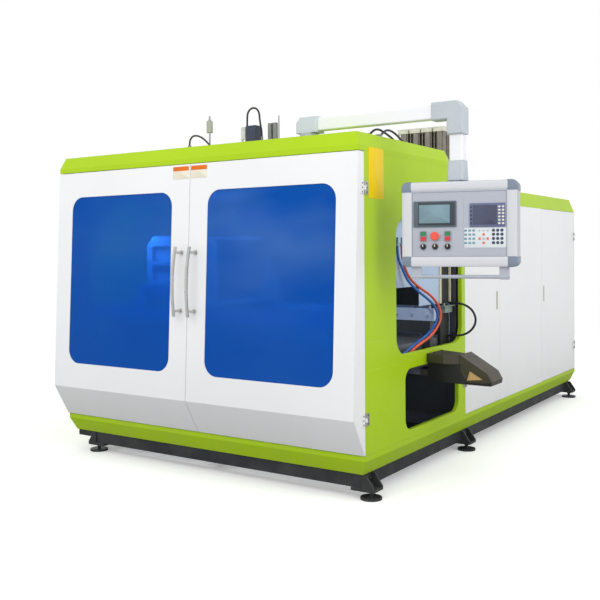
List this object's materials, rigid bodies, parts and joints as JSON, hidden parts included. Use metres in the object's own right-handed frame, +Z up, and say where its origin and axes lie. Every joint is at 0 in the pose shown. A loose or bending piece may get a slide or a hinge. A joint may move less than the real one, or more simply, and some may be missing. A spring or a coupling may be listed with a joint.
{
  "type": "blow moulding machine",
  "caption": "Enclosed shuttle blow moulding machine with hinged doors, clamp carriage, die head, extruder, blow station, swivelling control box and discharge chute.",
  "frame": {"origin": "on the floor, at the centre of the rectangle of the four corner anchor holes", "axes": "+Y along the length from the front doors to the back, +Z up, +X to the discharge side"},
  "size_m": [3.4123, 4.5781, 2.548],
  "materials": {
    "green_paint": "satin powder coat",
    "white_paint": "satin powder coat",
    "base_paint": "semi-matt paint",
    "grey_paint": "semi-matt paint",
    "box_paint": "satin paint",
    "cast_grey": "painted casting",
    "bright_steel": "ground",
    "handle_steel": "brushed",
    "zinc_steel": "zinc plated",
    "mould_alloy": "milled",
    "tray_steel": "dull sheet",
    "window_blue": "tinted clear sheet",
    "hose_blue": "smooth",
    "hose_orange": "smooth",
    "hose_black": "smooth",
    "button_red": "moulded",
    "button_green": "moulded",
    "knob_black": "moulded",
    "rack_grey": "moulded",
    "band_steel": "heat stained"
  },
  "bodies": {
    "frame": {"base_frame": "base_paint", "levelling_feet": "base_paint", "lower_skirt": "green_paint", "right_side_panel": "green_paint", "left_side_panel": "green_paint", "roof_cover": "green_paint", "steel_frame": "grey_paint", "rear_cover": "green_paint", "rear_panels": "white_paint", "back_panel": "white_paint", "extruder_barrel": "band_steel", "extruder_drive": "grey_paint", "hopper": "bright_steel", "die_head": "bright_steel", "cylinder_bank": "mould_alloy", "roof_valves": "zinc_steel", "shuttle_rails": "cast_grey", "blow_bridge": "grey_paint", "chute": "tray_steel", "service_panel": "bright_steel", "hinge_posts": "zinc_steel", "arm_base": "cast_grey", "hydraulic_unit": "grey_paint", "electrical_rack": "rack_grey", "roof_hose_tall": "hose_black", "roof_hose_left": "hose_black", "roof_cable_front": "hose_black", "roof_cable_rear": "hose_black", "blue_hose": "hose_blue", "orange_hose": "hose_orange", "loop_hose": "hose_black"},
    "left_door": {"left_door": "white_paint", "left_window": "window_blue", "left_handle": "handle_steel"},
    "right_door": {"right_door": "white_paint", "right_window": "window_blue", "right_handle": "handle_steel"},
    "front_cabinet_door": {"front_cabinet_door": "white_paint"},
    "rear_cabinet_door": {"rear_cabinet_door": "white_paint"},
    "front_latch": {"front_latch": "zinc_steel"},
    "rear_latch": {"rear_latch": "zinc_steel"},
    "arm": {"arm_beam": "white_paint", "arm_column": "cast_grey"},
    "control_box": {"control_box": "box_paint", "box_handle": "handle_steel"},
    "e_stop": {"e_stop": "button_red"},
    "left_start_button": {"left_start_button": "button_green"},
    "left_stop_button": {"left_stop_button": "button_red"},
    "right_start_button": {"right_start_button": "button_green"},
    "right_stop_button": {"right_stop_button": "button_red"},
    "selector_left": {"selector_left": "knob_black"},
    "selector_middle": {"selector_middle": "knob_black"},
    "selector_right": {"selector_right": "knob_black"},
    "carriage": {"carriage": "cast_grey", "tie_bars": "bright_steel"},
    "front_clamp": {"front_platen": "cast_grey", "front_mould": "mould_alloy"},
    "rear_clamp": {"rear_platen": "cast_grey", "rear_mould": "mould_alloy"},
    "blow_pins": {"blow_pins": "bright_steel"}
  },
  "joints": [
    {"name": "left_door_hinge", "type": "hinge", "parent": "frame", "child": "left_door", "pos_m": [-1.388, -2.166, 1.2], "axis": [0, 0, -1], "range_deg": [0, 110]},
    {"name": "right_door_hinge", "type": "hinge", "parent": "frame", "child": "right_door", "pos_m": [1.198, -2.166, 1.2], "axis": [0, 0, 1], "range_deg": [0, 110]},
    {"name": "front_cabinet_hinge", "type": "hinge", "parent": "frame", "child": "front_cabinet_door", "pos_m": [1.198, -0.655, 1.07], "axis": [0, 0, -1], "range_deg": [0, 100]},
    {"name": "rear_cabinet_hinge", "type": "hinge", "parent": "frame", "child": "rear_cabinet_door", "pos_m": [1.198, 2.168, 1.07], "axis": [0, 0, 1], "range_deg": [0, 100]},
    {"name": "front_latch_pivot", "type": "hinge", "parent": "front_cabinet_door", "child": "front_latch", "pos_m": [1.184, 0.005, 1.1505], "axis": [0, -1, 0], "range_deg": [0, 35]},
    {"name": "rear_latch_pivot", "type": "hinge", "parent": "rear_cabinet_door", "child": "rear_latch", "pos_m": [1.184, 1.209, 1.1505], "axis": [0, -1, 0], "range_deg": [0, 35]},
    {"name": "arm_swivel", "type": "hinge", "parent": "frame", "child": "arm", "pos_m": [0.626, -1.884, 2.262], "axis": [0, 0, 1], "range_deg": [-15, 25]},
    {"name": "box_swivel", "type": "hinge", "parent": "arm", "child": "control_box", "pos_m": [1.66, -1.884, 1.902], "axis": [0, 0, 1], "range_deg": [-105, 75]},
    {"name": "e_stop_press", "type": "slide", "parent": "control_box", "child": "e_stop", "axis": [-0.2419, 0.9703, 0], "range_m": [0, 0.004]},
    {"name": "left_start_press", "type": "slide", "parent": "control_box", "child": "left_start_button", "axis": [-0.2419, 0.9703, 0], "range_m": [0, 0.003], "stiffness_N_per_m": 500},
    {"name": "left_stop_press", "type": "slide", "parent": "control_box", "child": "left_stop_button", "axis": [-0.2419, 0.9703, 0], "range_m": [0, 0.003], "stiffness_N_per_m": 500},
    {"name": "right_start_press", "type": "slide", "parent": "control_box", "child": "right_start_button", "axis": [-0.2419, 0.9703, 0], "range_m": [0, 0.003], "stiffness_N_per_m": 500},
    {"name": "right_stop_press", "type": "slide", "parent": "control_box", "child": "right_stop_button", "axis": [-0.2419, 0.9703, 0], "range_m": [0, 0.003], "stiffness_N_per_m": 500},
    {"name": "selector_left_turn", "type": "hinge", "parent": "control_box", "child": "selector_left", "pos_m": [1.49673, -2.01231, 1.517], "axis": [0.2419, -0.9703, 0], "range_deg": [-45, 45]},
    {"name": "selector_middle_turn", "type": "hinge", "parent": "control_box", "child": "selector_middle", "pos_m": [1.5642, -1.99549, 1.517], "axis": [0.2419, -0.9703, 0], "range_deg": [-45, 45]},
    {"name": "selector_right_turn", "type": "hinge", "parent": "control_box", "child": "selector_right", "pos_m": [1.63518, -1.97779, 1.517], "axis": [0.2419, -0.9703, 0], "range_deg": [-45, 45]},
    {"name": "carriage_shuttle", "type": "slide", "parent": "frame", "child": "carriage", "axis": [1, 0, 0], "range_m": [0, 0.61]},
    {"name": "front_clamp_slide", "type": "slide", "parent": "carriage", "child": "front_clamp", "axis": [0, 1, 0], "range_m": [0, 0.17]},
    {"name": "rear_clamp_slide", "type": "slide", "parent": "carriage", "child": "rear_clamp", "axis": [0, -1, 0], "range_m": [0, 0.17]},
    {"name": "blow_pin_stroke", "type": "slide", "parent": "frame", "child": "blow_pins", "axis": [0, 0, -1], "range_m": [0, 0.12]}
  ],
  "couplings": [
    {"joint": "rear_clamp_slide", "follows": "front_clamp_slide", "ratio": 1}
  ]
}
